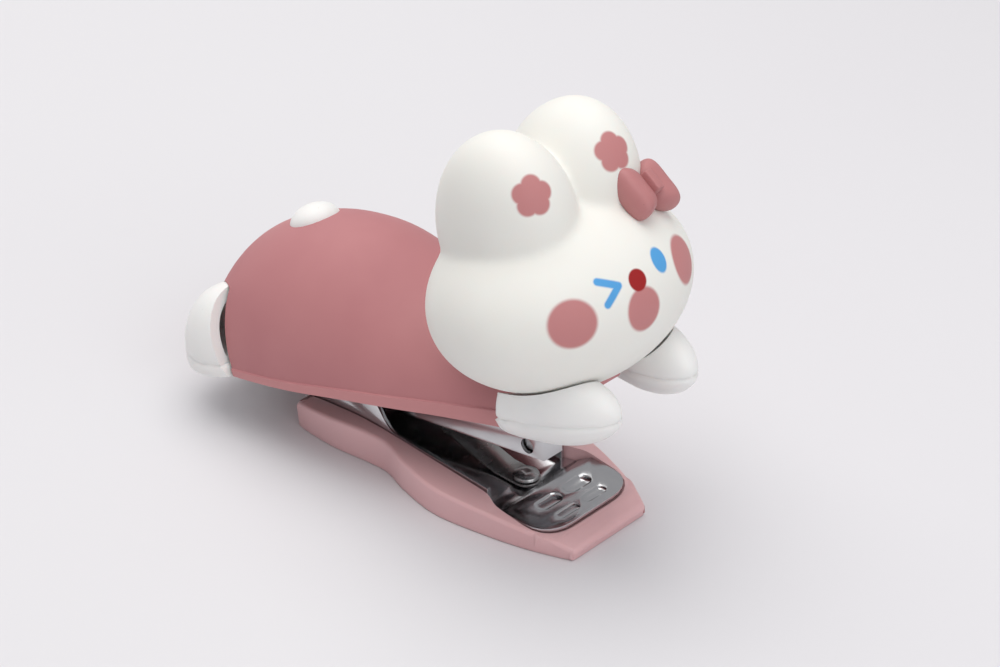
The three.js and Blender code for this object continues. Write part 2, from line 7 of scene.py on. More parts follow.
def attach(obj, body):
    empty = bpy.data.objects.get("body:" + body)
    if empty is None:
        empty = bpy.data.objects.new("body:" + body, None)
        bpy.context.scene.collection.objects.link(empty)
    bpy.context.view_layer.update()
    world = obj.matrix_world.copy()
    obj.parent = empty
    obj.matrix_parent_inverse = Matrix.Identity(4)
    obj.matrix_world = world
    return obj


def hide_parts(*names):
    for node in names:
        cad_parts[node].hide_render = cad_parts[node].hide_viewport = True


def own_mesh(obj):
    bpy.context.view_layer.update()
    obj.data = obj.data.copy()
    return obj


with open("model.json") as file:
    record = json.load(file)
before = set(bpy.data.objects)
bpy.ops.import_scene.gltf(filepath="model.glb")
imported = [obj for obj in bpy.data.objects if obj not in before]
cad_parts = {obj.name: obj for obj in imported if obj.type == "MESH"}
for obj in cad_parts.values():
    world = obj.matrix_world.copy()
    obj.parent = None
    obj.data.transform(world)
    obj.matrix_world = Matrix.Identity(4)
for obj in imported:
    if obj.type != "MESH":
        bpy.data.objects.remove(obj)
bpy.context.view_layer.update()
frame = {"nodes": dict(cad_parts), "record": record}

mm = 0.001
track = {'pivot': (-28.5, 0, 10.5), 'tilt': 9.6}    # the pin, and how far the track tips nose up


# ways of working that every piece uses

def putDown():
    if bpy.context.mode != 'OBJECT':
        bpy.ops.object.mode_set(mode='OBJECT')
    bpy.ops.object.select_all(action='DESELECT')


def pickUp(*pieces):
    putDown()
    for piece in pieces:
        piece.select_set(True)
    bpy.context.view_layer.objects.active = pieces[0]


def openUp(piece, mode='FACE'):
    pickUp(piece)
    bpy.ops.object.mode_set(mode='EDIT')
    bpy.ops.mesh.select_mode(type=mode)


# selects the faces, edges or points that pass a test of their place in mm
def choose(piece, kind, test):
    openUp(piece, kind)
    bpy.ops.mesh.select_all(action='DESELECT')
    bpy.ops.object.mode_set(mode='OBJECT')
    mesh = piece.data
    if kind == 'FACE':
        for face in mesh.polygons:
            face.select = bool(test(face.center / mm, face.normal))
    elif kind == 'EDGE':
        for edge in mesh.edges:
            a, b = (mesh.vertices[i].co / mm for i in edge.vertices)
            edge.select = bool(test((a + b) / 2, (b - a).normalized()))
    else:
        for point in mesh.vertices:
            point.select = bool(test(point.co / mm, point.normal))
    bpy.ops.object.mode_set(mode='EDIT')


# selects the sharp edges whose middle passes a test of its place in mm
def chooseSharp(piece, degrees, test):
    openUp(piece, 'EDGE')
    bpy.ops.mesh.select_all(action='DESELECT')
    bpy.ops.mesh.edges_select_sharp(sharpness=math.radians(degrees))
    bpy.ops.object.mode_set(mode='OBJECT')
    mesh = piece.data
    for edge in mesh.edges:
        a, b = (mesh.vertices[i].co / mm for i in edge.vertices)
        edge.select = edge.select and bool(test((a + b) / 2))
    bpy.ops.object.mode_set(mode='EDIT')


def allOf(piece):
    openUp(piece)
    bpy.ops.mesh.select_all(action='SELECT')


def cutAway(piece, point, normal, fill=True):
    allOf(piece)
    bpy.ops.mesh.bisect(plane_co=Vector(point) * mm, plane_no=normal, use_fill=fill, clear_outer=True)
    bpy.ops.object.mode_set(mode='OBJECT')


def scoreLine(piece, point, normal):
    allOf(piece)
    bpy.ops.mesh.bisect(plane_co=Vector(point) * mm, plane_no=normal, clear_outer=False, clear_inner=False)
    bpy.ops.object.mode_set(mode='OBJECT')


def setDown(piece):
    pickUp(piece)
    bpy.ops.object.transform_apply(location=True, rotation=True, scale=True)


def faceOut(piece):
    allOf(piece)
    bpy.ops.mesh.remove_doubles(threshold=0.00001)
    bpy.ops.mesh.normals_make_consistent(inside=False)
    bpy.ops.object.mode_set(mode='OBJECT')


def useModifier(piece, kind, **settings):
    modifier = piece.modifiers.new(kind.title(), kind)
    for name, value in settings.items():
        setattr(modifier, name, value)
    pickUp(piece)
    bpy.ops.object.modifier_apply(modifier=modifier.name)


def cutWith(piece, tool, operation='DIFFERENCE', solver='EXACT'):
    useModifier(piece, 'BOOLEAN', operation=operation, object=tool, solver=solver)
    bpy.data.objects.remove(tool)


def joinTo(piece, *others):
    pickUp(piece, *others)
    bpy.ops.object.join()


def smoothOff(piece, degrees=35):
    pickUp(piece)
    if degrees >= 180:
        bpy.ops.object.shade_smooth()
    else:
        bpy.ops.object.shade_smooth_by_angle(angle=math.radians(degrees))


def named(name):
    piece = bpy.context.active_object
    piece.name = name
    return piece


# an ellipsoid in mm, pitched nose up, then turned about Z
def roundBody(name, centre, radii, pitch=0, turn=0, roll=0, around=64, down=40):
    bpy.ops.mesh.primitive_uv_sphere_add(segments=around, ring_count=down, radius=1, location=(0, 0, 0))
    piece = named(name)
    piece.scale = Vector(radii) * mm
    setDown(piece)
    piece.rotation_euler = (math.radians(-roll), math.radians(-pitch), math.radians(turn))
    piece.location = Vector(centre) * mm
    setDown(piece)
    return piece


def block(name, low, high):
    low, high = Vector(low), Vector(high)
    bpy.ops.mesh.primitive_cube_add(size=1, location=(low + high) / 2 * mm)
    piece = named(name)
    piece.scale = (high - low) * mm
    setDown(piece)
    return piece


def finishPiece(piece, body, slot, material, *nodes):
    piece.data.materials.clear()
    piece.data.materials.append(material)
    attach(piece, body)
    if nodes:
        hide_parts(*nodes)
    return piece


# a merged copy of a CAD node, ready to have its edges broken
def copyOfNode(node, name):
    source = frame["nodes"][node]
    piece = bpy.data.objects.new(name, source.data.copy())
    bpy.context.scene.collection.objects.link(piece)
    allOf(piece)
    bpy.ops.mesh.remove_doubles(threshold=0.00002)
    bpy.ops.mesh.dissolve_limited(angle_limit=math.radians(1.0), use_dissolve_boundaries=False)
    bpy.ops.mesh.select_all(action='SELECT')
    bpy.ops.mesh.normals_make_consistent(inside=False)
    bpy.ops.object.mode_set(mode='OBJECT')
    return piece


putDown()

# shader groups

def newGroup(name, inputs, outputs):
    group = bpy.data.node_groups.new(name, 'ShaderNodeTree')
    for label, kind, value in inputs:
        socket = group.interface.new_socket(name=label, in_out='INPUT', socket_type='NodeSocket' + kind)
        socket.default_value = value
    for label, kind in outputs:
        group.interface.new_socket(name=label, in_out='OUTPUT', socket_type='NodeSocket' + kind)
    start = group.nodes.new('NodeGroupInput')
    end = group.nodes.new('NodeGroupOutput')
    start.location, end.location = (-900, 0), (700, 0)
    return group, start, end


def addNode(tree, kind, x=0, y=0, **settings):
    node = tree.nodes.new('ShaderNode' + kind)
    node.location = (x, y)
    for name, value in settings.items():
        setattr(node, name, value)
    return node


def maths(tree, operation, a, b=None, c=None, x=0, y=0, clamp=False):
    node = addNode(tree, 'Math', x, y, operation=operation, use_clamp=clamp)
    for socket, value in zip(node.inputs, (a, b, c)):
        if value is None:
            continue
        if isinstance(value, (int, float)):
            socket.default_value = value
        else:
            tree.links.new(value, socket)
    return node.outputs[0]


def vectors(tree, operation, a, b=None, x=0, y=0, output=0):
    node = addNode(tree, 'VectorMath', x, y, operation=operation)
    for socket, value in zip(node.inputs, (a, b)):
        if value is None:
            continue
        if isinstance(value, (tuple, Vector)):
            socket.default_value = value
        else:
            tree.links.new(value, socket)
    return node.outputs[output]


# fine grain of moulded plastic: a height for the bump and a slow unevenness for colour and gloss
def makeMouldGrain():
    group, start, end = newGroup('mouldGrain', [
        ('Place', 'Vector', (0, 0, 0)), ('Grain', 'Float', 4000), ('Patch', 'Float', 60)],
        [('Height', 'Float'), ('Unevenness', 'Float')])
    fine = addNode(group, 'TexNoise', -500, 200)
    fine.inputs['Detail'].default_value = 2
    coarse = addNode(group, 'TexNoise', -500, -200)
    coarse.inputs['Detail'].default_value = 3
    for noise, label in ((fine, 'Grain'), (coarse, 'Patch')):
        group.links.new(start.outputs['Place'], noise.inputs['Vector'])
        group.links.new(start.outputs[label], noise.inputs['Scale'])
    group.links.new(fine.outputs['Fac'], end.inputs['Height'])
    group.links.new(coarse.outputs['Fac'], end.inputs['Unevenness'])
    return group


# tiny dark specks, in patches, that handling leaves
def makeSpecks():
    group, start, end = newGroup('specks', [
        ('Place', 'Vector', (0, 0, 0)), ('Scale', 'Float', 160), ('Size', 'Float', 0.05)],
        [('Mask', 'Float')])
    cells = addNode(group, 'TexVoronoi', -600, 100, feature='F1')
    cells.inputs['Randomness'].default_value = 1
    patchy = addNode(group, 'TexNoise', -600, -200)
    group.links.new(start.outputs['Place'], cells.inputs['Vector'])
    group.links.new(start.outputs['Scale'], cells.inputs['Scale'])
    group.links.new(start.outputs['Place'], patchy.inputs['Vector'])
    patchy.inputs['Scale'].default_value = 300
    near = maths(group, 'LESS_THAN', cells.outputs['Distance'], start.outputs['Size'], x=-300, y=100)
    some = maths(group, 'GREATER_THAN', patchy.outputs['Fac'], 0.52, x=-300, y=-200)
    group.links.new(maths(group, 'MULTIPLY', near, some, x=0), end.inputs['Mask'])
    return group


# edges and corners lightened: partly a painted highlight where they catch the light, partly finish worn off
def makeEdgeWearAndHighlight():
    group, start, end = newGroup('edgeWearAndHighlight', [
        ('Place', 'Vector', (0, 0, 0)), ('From', 'Float', 0.52), ('To', 'Float', 0.62)], [('Mask', 'Float')])
    shape = addNode(group, 'NewGeometry', -600, 200)
    broken = addNode(group, 'TexNoise', -600, -100)
    broken.inputs['Scale'].default_value = 700
    group.links.new(start.outputs['Place'], broken.inputs['Vector'])
    ramp = addNode(group, 'MapRange', -300, 200)
    group.links.new(shape.outputs['Pointiness'], ramp.inputs['Value'])
    group.links.new(start.outputs['From'], ramp.inputs['From Min'])
    group.links.new(start.outputs['To'], ramp.inputs['From Max'])
    mixed = maths(group, 'MULTIPLY', ramp.outputs['Result'], broken.outputs['Fac'], x=0, clamp=True)
    group.links.new(mixed, end.inputs['Mask'])
    return group


# a printed disc: 1 inside, soft at the rim
def makePrintedDisc():
    group, start, end = newGroup('printedDisc', [
        ('Place', 'Vector', (0, 0, 0)), ('Centre', 'Vector', (0, 0, 0)), ('Radii', 'Vector', (1, 1, 1)),
        ('Softness', 'Float', 0.1)], [('Mask', 'Float')])
    away = vectors(group, 'SUBTRACT', start.outputs['Place'], start.outputs['Centre'], x=-600)
    scaled = vectors(group, 'DIVIDE', away, start.outputs['Radii'], x=-400)
    far = vectors(group, 'LENGTH', scaled, x=-200, output=1)
    inner = maths(group, 'SUBTRACT', 1, start.outputs['Softness'], x=-200, y=-200)
    fade = addNode(group, 'MapRange', 100, 0, interpolation_type='SMOOTHSTEP')
    group.links.new(far, fade.inputs['Value'])
    group.links.new(inner, fade.inputs['From Min'])
    outer = maths(group, 'ADD', 1, start.outputs['Softness'], x=-200, y=-350)
    group.links.new(outer, fade.inputs['From Max'])
    fade.inputs['To Min'].default_value = 1
    fade.inputs['To Max'].default_value = 0
    group.links.new(fade.outputs['Result'], end.inputs['Mask'])
    return group


# a printed stroke between two points
def makePrintedStroke():
    group, start, end = newGroup('printedStroke', [
        ('Place', 'Vector', (0, 0, 0)), ('From', 'Vector', (0, 0, 0)), ('To', 'Vector', (0, 0, 1)),
        ('Half width', 'Float', 0.0007), ('Softness', 'Float', 0.0002)], [('Mask', 'Float')])
    away = vectors(group, 'SUBTRACT', start.outputs['Place'], start.outputs['From'], x=-700)
    run = vectors(group, 'SUBTRACT', start.outputs['To'], start.outputs['From'], x=-700, y=-200)
    along = vectors(group, 'DOT_PRODUCT', away, run, x=-500, output=1)
    whole = vectors(group, 'DOT_PRODUCT', run, run, x=-500, y=-200, output=1)
    share = maths(group, 'DIVIDE', along, whole, x=-350, clamp=True)
    foot = addNode(group, 'VectorMath', -200, -100, operation='SCALE')
    group.links.new(run, foot.inputs[0])
    group.links.new(share, foot.inputs['Scale'])
    aside = vectors(group, 'SUBTRACT', away, foot.outputs[0], x=0)
    far = vectors(group, 'LENGTH', aside, x=150, output=1)
    fade = addNode(group, 'MapRange', 400, 0, interpolation_type='SMOOTHSTEP')
    group.links.new(far, fade.inputs['Value'])
    inner = maths(group, 'SUBTRACT', start.outputs['Half width'], start.outputs['Softness'], x=150, y=-200)
    outer = maths(group, 'ADD', start.outputs['Half width'], start.outputs['Softness'], x=150, y=-350)
    group.links.new(inner, fade.inputs['From Min'])
    group.links.new(outer, fade.inputs['From Max'])
    fade.inputs['To Min'].default_value = 1
    fade.inputs['To Max'].default_value = 0
    group.links.new(fade.outputs['Result'], end.inputs['Mask'])
    return group


# hairlines that rolling or polishing leaves in sheet steel
def makeRolledLines():
    group, start, end = newGroup('rolledLines', [
        ('Place', 'Vector', (0, 0, 0)), ('Stretch', 'Vector', (1, 12, 12)), ('Scale', 'Float', 900)],
        [('Height', 'Float'), ('Gloss', 'Float')])
    pulled = vectors(group, 'MULTIPLY', start.outputs['Place'], start.outputs['Stretch'], x=-700)
    lines = addNode(group, 'TexNoise', -450, 150)
    lines.inputs['Detail'].default_value = 4
    group.links.new(pulled, lines.inputs['Vector'])
    group.links.new(start.outputs['Scale'], lines.inputs['Scale'])
    smear = addNode(group, 'TexNoise', -450, -200)
    smear.inputs['Scale'].default_value = 180
    smear.inputs['Detail'].default_value = 3
    group.links.new(start.outputs['Place'], smear.inputs['Vector'])
    group.links.new(lines.outputs['Fac'], end.inputs['Height'])
    group.links.new(smear.outputs['Fac'], end.inputs['Gloss'])
    return group


mouldGrain = makeMouldGrain()
specks = makeSpecks()
edgeWearAndHighlight = makeEdgeWearAndHighlight()
printedDisc = makePrintedDisc()
printedStroke = makePrintedStroke()
rolledLines = makeRolledLines()
print('shader groups made')


# materials

def newMaterial(name):
    material = bpy.data.materials.new(name)
    material.use_nodes = True
    tree = material.node_tree
    shader = tree.nodes['Principled BSDF']
    shader.location = (600, 0)
    place = addNode(tree, 'TexCoord', -1600, 0)
    return material, tree, shader, place.outputs['Object']


def useGroup(tree, group, place, x, y, **values):
    node = addNode(tree, 'Group', x, y, node_tree=group)
    tree.links.new(place, node.inputs['Place'])
    for label, value in values.items():
        node.inputs[label.replace('_', ' ')].default_value = value
    return node


def mixColour(tree, mask, under, over, x=0, y=0):
    node = addNode(tree, 'Mix', x, y, data_type='RGBA')
    tree.links.new(mask, node.inputs['Factor'])
    for socket, value in ((node.inputs['A'], under), (node.inputs['B'], over)):
        if isinstance(value, tuple):
            socket.default_value = (*value, 1)
        else:
            tree.links.new(value, socket)
    return node.outputs['Result']


def stretchValue(tree, value, low, high, x=0, y=0, fromLow=0.3, fromHigh=0.7):
    node = addNode(tree, 'MapRange', x, y)
    tree.links.new(value, node.inputs['Value'])
    for label, number in (('From Min', fromLow), ('From Max', fromHigh), ('To Min', low), ('To Max', high)):
        node.inputs[label].default_value = number
    return node.outputs['Result']


def addBump(tree, shader, height, strength, distance, x=300, y=-400):
    bump = addNode(tree, 'Bump', x, y)
    bump.inputs['Strength'].default_value = strength
    bump.inputs['Distance'].default_value = distance
    tree.links.new(height, bump.inputs['Height'])
    tree.links.new(bump.outputs['Normal'], shader.inputs['Normal'])
    return bump


def mouldedPlastic(name, look, layer=None):
    material, tree, shader, place = newMaterial(name)
    grain = useGroup(tree, mouldGrain, place, -1300, 0, Grain=look['grainScale'], Patch=look['patchScale'])
    uneven = stretchValue(tree, grain.outputs['Unevenness'], 0, 1, -1050, 100)
    colour = mixColour(tree, uneven, look['colour'], look['shade'], -800, 200)
    if layer:
        colour = layer(tree, place, colour)
    # convex edges lightened: part painted highlight, part worn finish
    wearAndHighlight = useGroup(tree, edgeWearAndHighlight, place, -1300, -300)
    colour = mixColour(tree, maths(tree, 'MULTIPLY', wearAndHighlight.outputs['Mask'], look['wearAndHighlight'], x=-200, y=-100),
                       colour, look['wearHighlightColour'], 0, 200)
    speck = useGroup(tree, specks, place, -1300, -600, Scale=look['speckScale'], Size=look['speckSize'])
    colour = mixColour(tree, maths(tree, 'MULTIPLY', speck.outputs['Mask'], 0.5, x=0, y=-100),
                       colour, look['speckColour'], 300, 200)
    tree.links.new(colour, shader.inputs['Base Color'])
    gloss = stretchValue(tree, grain.outputs['Unevenness'],
                         look['roughness'] - 0.05, look['roughness'] + 0.06,
                         -200, -300)
    tree.links.new(gloss, shader.inputs['Roughness'])
    shader.inputs['Specular IOR Level'].default_value = look['specular']
    shader.inputs['Subsurface Weight'].default_value = look.get('glow', 0)
    shader.inputs['Subsurface Radius'].default_value = (1, 0.6, 0.5)
    shader.inputs['Subsurface Scale'].default_value = 0.0015
    addBump(tree, shader, grain.outputs['Height'], look['bump'], 0.00004)
    return material


def steel(name, look):
    material, tree, shader, place = newMaterial(name)
    lines = useGroup(tree, rolledLines, place, -1300, 0, Stretch=look['stretch'], Scale=look['lineScale'])
    smear = stretchValue(tree, lines.outputs['Gloss'], 0, 1, -1050, 100)
    colour = mixColour(tree, smear, look['colour'], look['shade'], -800, 200)
    # convex edges lightened: part painted highlight, part worn plating
    wearAndHighlight = useGroup(tree, edgeWearAndHighlight, place, -1300, -300)
    colour = mixColour(tree, maths(tree, 'MULTIPLY', wearAndHighlight.outputs['Mask'], look['wearAndHighlight'], x=-400, y=-200),
                       colour, look['wearHighlightColour'], -200, 200)
    tree.links.new(colour, shader.inputs['Base Color'])
    shader.inputs['Metallic'].default_value = 1
    tree.links.new(stretchValue(tree, lines.outputs['Gloss'],
                                look['roughness'] * 0.7, look['roughness'] * 1.4,
                                -200, -300), shader.inputs['Roughness'])
    addBump(tree, shader, lines.outputs['Height'], look['bump'], 0.00002)
    return material


# underside of the body
rimLine = {'height': 27.5, 'at': 36.3, 'slope': 0.2, 'bandRear': 1.3, 'bandFront': 2.9}


def rimAt(x):
    return rimLine['height'] + rimLine['slope'] * (x - rimLine['at'])


bodyLook = {
    'colour': (0.500, 0.208, 0.215), 'shade': (0.455, 0.180, 0.192), 'roughness': 0.62, 'specular': 0.35,
    'grainScale': 5200, 'patchScale': 45, 'bump': 0.35, 'wearAndHighlight': 0.35, 'wearHighlightColour': (0.58, 0.29, 0.29),
    'speckScale': 150, 'speckSize': 0.045, 'speckColour': (0.25, 0.1, 0.11),
    'bandColour': (0.56, 0.245, 0.25),
}


# the rim band is a shade lighter than the body above it
def rimBand(tree, place, colour):
    parts = addNode(tree, 'SeparateXYZ', -1300, 400)
    tree.links.new(place, parts.inputs[0])
    line = maths(tree, 'MULTIPLY_ADD', parts.outputs['X'], bandSlope(), bandStart() * mm, x=-1050, y=400)
    below = maths(tree, 'LESS_THAN', parts.outputs['Z'], line, x=-800, y=400)
    return mixColour(tree, below, colour, bodyLook['bandColour'], -500, 300)


bandEnds = (-42.0, 22.6)    # from the foot to the paw


def bandSlope():
    rise = rimAt(bandEnds[1]) + rimLine['bandFront'] - rimAt(bandEnds[0]) - rimLine['bandRear']
    return rise / (bandEnds[1] - bandEnds[0])


def bandStart():
    return rimAt(bandEnds[0]) + rimLine['bandRear'] - bandSlope() * bandEnds[0]


softPink = mouldedPlastic('dustyRosePlastic', bodyLook, rimBand)
basePink = mouldedPlastic('palePinkPlastic', {
    'colour': (0.735, 0.455, 0.465), 'shade': (0.70, 0.42, 0.43), 'roughness': 0.42, 'specular': 0.5,
    'grainScale': 4200, 'patchScale': 50, 'bump': 0.25, 'wearAndHighlight': 0.4, 'wearHighlightColour': (0.82, 0.53, 0.53),
    'speckScale': 170, 'speckSize': 0.04, 'speckColour': (0.4, 0.2, 0.2), 'glow': 0.1})
whitePlastic = mouldedPlastic('whitePlastic', {
    'colour': (0.86, 0.85, 0.83), 'shade': (0.82, 0.81, 0.80), 'roughness': 0.45, 'specular': 0.5,
    'grainScale': 4800, 'patchScale': 55, 'bump': 0.2, 'wearAndHighlight': 0.2, 'wearHighlightColour': (0.9, 0.9, 0.89),
    'speckScale': 190, 'speckSize': 0.03, 'speckColour': (0.5, 0.48, 0.45), 'glow': 0.12})
bowPink = mouldedPlastic('bowVinyl', {
    'colour': (0.475, 0.197, 0.197), 'shade': (0.43, 0.17, 0.172), 'roughness': 0.5, 'specular': 0.45,
    'grainScale': 5200, 'patchScale': 160, 'bump': 0.3, 'wearAndHighlight': 0.5, 'wearHighlightColour': (0.62, 0.32, 0.33),
    'speckScale': 220, 'speckSize': 0.03, 'speckColour': (0.3, 0.12, 0.13), 'glow': 0.08})

facePrint = {
    'blush': (0.520, 0.212, 0.212), 'blue': (0.085, 0.350, 0.700), 'red': (0.330, 0.005, 0.006),
    'cheekRight': ((36.5, -14.6, 52.3), (4.3, 4.3, 4.1)), 'cheekLeft': ((37.3, 12.7, 53.6), (4.4, 4.2, 4.4)),
    'mouth': ((40.4, -1.5, 51.2), (3.6, 3.7, 3.8)), 'openEye': ((37.9, 5.2, 56.8), (2.3, 1.75, 2.3)),
    'nose': ((38.8, -1.3, 56.0), (1.9, 1.9, 1.9)),
    'wink': ((36.2, -8.5, 57.6), (38.1, -5.3, 56.3), (38.6, -8.4, 54.2)), 'winkHalfWidth': 0.66,
    'flowers': [((25.3, -12.2, 70.8), (0.78, -0.43, 0.45)), ((25.6, 7.3, 71.8), (0.82, -0.17, 0.56))],
    'petalReach': 1.8, 'petalRadius': 1.8,
    'soft': 0.1, 'softPetal': 0.16, 'softEye': 0.12,
}


def discMask(tree, place, centre, radii, softness, x, y):
    disc = useGroup(tree, printedDisc, place, x, y)
    disc.inputs['Centre'].default_value = Vector(centre) * mm
    disc.inputs['Radii'].default_value = Vector(radii) * mm
    disc.inputs['Softness'].default_value = softness
    return disc.outputs['Mask']


def flowerCentres(centre, outward):
    outward = Vector(outward).normalized()
    across = Vector((0, 0, 1)).cross(outward).normalized()
    up = outward.cross(across)
    reach = facePrint['petalReach']
    turns = [math.radians(90 + 72 * i) for i in range(5)]
    petals = [Vector(centre) + (across * math.cos(a) + up * math.sin(a)) * reach for a in turns]
    return petals + [Vector(centre)]


# cheeks, mouth and the flowers on the ears, then the eyes and the nose
def printFace(tree, place, colour):
    pink = [discMask(tree, place, *facePrint[name], facePrint['soft'], -1300, 600 + 220 * i)
            for i, name in enumerate(('cheekRight', 'cheekLeft', 'mouth'))]
    petal = facePrint['petalRadius']
    for row, (centre, outward) in enumerate(facePrint['flowers']):
        for i, spot in enumerate(flowerCentres(centre, outward)):
            pink.append(discMask(tree, place, spot, (petal,) * 3, facePrint['softPetal'], -1600 - 220 * i,
                                 900 + 240 * row))
    together = pink[0]
    for mask in pink[1:]:
        together = maths(tree, 'MAXIMUM', together, mask, x=-1000, y=700)
    colour = mixColour(tree, together, colour, facePrint['blush'], -700, 500)
    marks = [discMask(tree, place, *facePrint['openEye'], facePrint['softEye'], -1300, 1600)]
    wink = [Vector(point) * mm for point in facePrint['wink']]
    for i in range(2):
        stroke = useGroup(tree, printedStroke, place, -1300, 1900 + 240 * i)
        stroke.inputs['From'].default_value = wink[i]
        stroke.inputs['To'].default_value = wink[i + 1]
        stroke.inputs['Half width'].default_value = facePrint['winkHalfWidth'] * mm
        marks.append(stroke.outputs['Mask'])
    eyes = maths(tree, 'MAXIMUM', maths(tree, 'MAXIMUM', marks[0], marks[1], x=-1000, y=1600), marks[2],
                 x=-850, y=1600)
    colour = mixColour(tree, eyes, colour, facePrint['blue'], -500, 700)
    nose = discMask(tree, place, *facePrint['nose'], facePrint['soft'], -1300, 2500)
    return mixColour(tree, nose, colour, facePrint['red'], -300, 700)


whiteVinyl = mouldedPlastic('whiteVinyl', {
    'colour': (0.835, 0.825, 0.780), 'shade': (0.800, 0.785, 0.740), 'roughness': 0.58, 'specular': 0.4,
    'grainScale': 4400, 'patchScale': 40, 'bump': 0.25, 'wearAndHighlight': 0.15, 'wearHighlightColour': (0.9, 0.89, 0.86),
    'speckScale': 180, 'speckSize': 0.025, 'speckColour': (0.5, 0.47, 0.42), 'glow': 0.18}, printFace)

chrome = steel('nickelPlate', {
    'colour': (0.60, 0.60, 0.61), 'shade': (0.54, 0.54, 0.56), 'wearHighlightColour': (0.75, 0.75, 0.76),
    'roughness': 0.17, 'stretch': (1, 12, 12), 'lineScale': 700, 'bump': 0.04, 'wearAndHighlight': 0.25})
frameSteel = steel('zincPlate', {
    'colour': (0.42, 0.42, 0.43), 'shade': (0.36, 0.36, 0.37), 'wearHighlightColour': (0.6, 0.6, 0.6),
    'roughness': 0.32, 'stretch': (1, 9, 9), 'lineScale': 500, 'bump': 0.15, 'wearAndHighlight': 0.6})
springSteel = steel('springSteel', {
    'colour': (0.40, 0.39, 0.385), 'shade': (0.33, 0.325, 0.32), 'wearHighlightColour': (0.62, 0.6, 0.58),
    'roughness': 0.24, 'stretch': (1, 14, 14), 'lineScale': 600, 'bump': 0.08, 'wearAndHighlight': 0.4})
pinSteel = steel('turnedSteel', {
    'colour': (0.48, 0.47, 0.47), 'shade': (0.40, 0.40, 0.40), 'wearHighlightColour': (0.65, 0.64, 0.63),
    'roughness': 0.26, 'stretch': (6, 6, 1), 'lineScale': 500, 'bump': 0.08, 'wearAndHighlight': 0.5})
slotMaterials = {
    'base_plastic': basePink, 'body_soft_touch': softPink, 'white_vinyl': whiteVinyl,
    'white_plastic': whitePlastic, 'bow_vinyl': bowPink, 'chrome_sheet': chrome, 'frame_steel': frameSteel,
    'spring_steel': springSteel, 'pin_steel': pinSteel,
}
for subpart in frame["record"]["subparts"]:
    mesh = frame["nodes"][subpart["node"]].data
    mesh.materials.clear()
    mesh.materials.append(slotMaterials[subpart["material_slot"]])
print('materials made')


# the body: a loft along the back, cut level with the rim, hollow underneath

body = {
    # place along the stapler, half-width at the rim, height of the back
    'stations': [(-57.8, 9, 19.4), (-56.5, 14, 25.2), (-53.7, 18.4, 29.8), (-49.8, 21.1, 33.2),
                 (-43, 22.3, 36.8), (-35, 22.3, 39.2), (-26, 21.6, 40.2), (-15, 19.6, 38.6), (-4, 17.7, 35.9),
                 (8, 15.4, 34.6), (22.6, 13.1, 34.2)],
    'between': 4, 'around': 96, 'wall': 2.0, 'wayHalfWidth': 7.6, 'wayTop': 31, 'bandStep': 0.28,
    'chest': ((19.6, -5.0, 30.9), (30.8, 5.0, 33.0)), 'posts': ((8, 8.1), (33, 10.1)), 'bossRadius': 3,
    'postWall': 1.8, 'holeDepth': 6.5, 'postBelowRidge': 1.4, 'footGap': 0.12, 'slitWidth': 0.9,
    'rump': ((0.86, 0.5), (0.8, 0.35), (0.7, 0.2), (0.5, 0.1)), 'rumpMiddle': 3,    # size left, step back
    'frontRound': 1.4, 'chestRound': 0.7, 'bandFade': 0.22,
}
foot = {
    'centre': (-48.1, 15.6, 13.5), 'radii': (10.6, 9.4, 12.2), 'faceX': -42.1, 'faceLean': 0.5,
    'lip': 2.2, 'lipProud': 0.16, 'rim': 1.9, 'hollow': 3.2, 'shortEdge': 0.25,
}


def alongStations(stations, between):
    ends = [stations[0], *stations, stations[-1]]
    path = []
    for i in range(1, len(ends) - 2):
        a, b, c, d = (Vector(ends[i + k]) for k in (-1, 0, 1, 2))
        for step in range(between):
            t = step / between
            path.append(0.5 * (2 * b + (c - a) * t + (2 * a - 5 * b + 4 * c - d) * t ** 2
                               + (3 * b - a - 3 * c + d) * t ** 3))
    return path + [Vector(stations[-1])]


# rings drawn out one from the next along X; each ring is x, middle's height, half-width, half-height
def drawOut(name, rings, around):
    x, z, half, rise = rings[0]
    bpy.ops.mesh.primitive_circle_add(vertices=around, radius=1, fill_type='NGON', location=(0, 0, 0),
                                      rotation=(0, math.radians(90), 0))
    piece = named(name)
    setDown(piece)
    piece.scale = (1, half * mm, rise * mm)
    piece.location = (x * mm, 0, z * mm)
    setDown(piece)
    allOf(piece)
    for old, new in zip(rings, rings[1:]):
        bpy.ops.mesh.extrude_region_move(
            TRANSFORM_OT_translate={'value': ((new[0] - old[0]) * mm, 0, (new[1] - old[1]) * mm)})
        bpy.ops.transform.resize(value=(1, new[2] / old[2], new[3] / old[3]),
                                 center_override=(new[0] * mm, 0, new[1] * mm))
    bpy.ops.object.mode_set(mode='OBJECT')
    faceOut(piece)
    return piece


def modelBody():
    path = alongStations(body['stations'], body['between'])
    rings = [(x, rimAt(x), half, ridge - rimAt(x)) for x, half, ridge in path]
    piece = drawOut('rabbitBody', rings, body['around'])
    # round the rump: the first face is stepped in and pushed back a little
    choose(piece, 'FACE', lambda place, normal: place.x < path[0].x + 0.01 and normal.x < -0.9)
    middle = (path[0].x * mm, 0, (rimAt(path[0].x) + body['rumpMiddle']) * mm)
    for share, back in body['rump']:
        bpy.ops.mesh.extrude_region_move(TRANSFORM_OT_translate={'value': (-back * mm, 0, 0)})
        bpy.ops.transform.resize(value=(1, share, share), center_override=middle)
    bpy.ops.object.mode_set(mode='OBJECT')
    # the front edge turns in towards the paws
    choose(piece, 'FACE', lambda place, normal: place.x > path[-1].x - 0.1 and normal.x > 0.9)
    bpy.ops.mesh.bevel(offset=body['frontRound'] * mm, segments=4)
    bpy.ops.object.mode_set(mode='OBJECT')
    cutAway(piece, (0, 0, rimAt(0)), (rimLine['slope'], 0, -1), fill=False)
    return piece


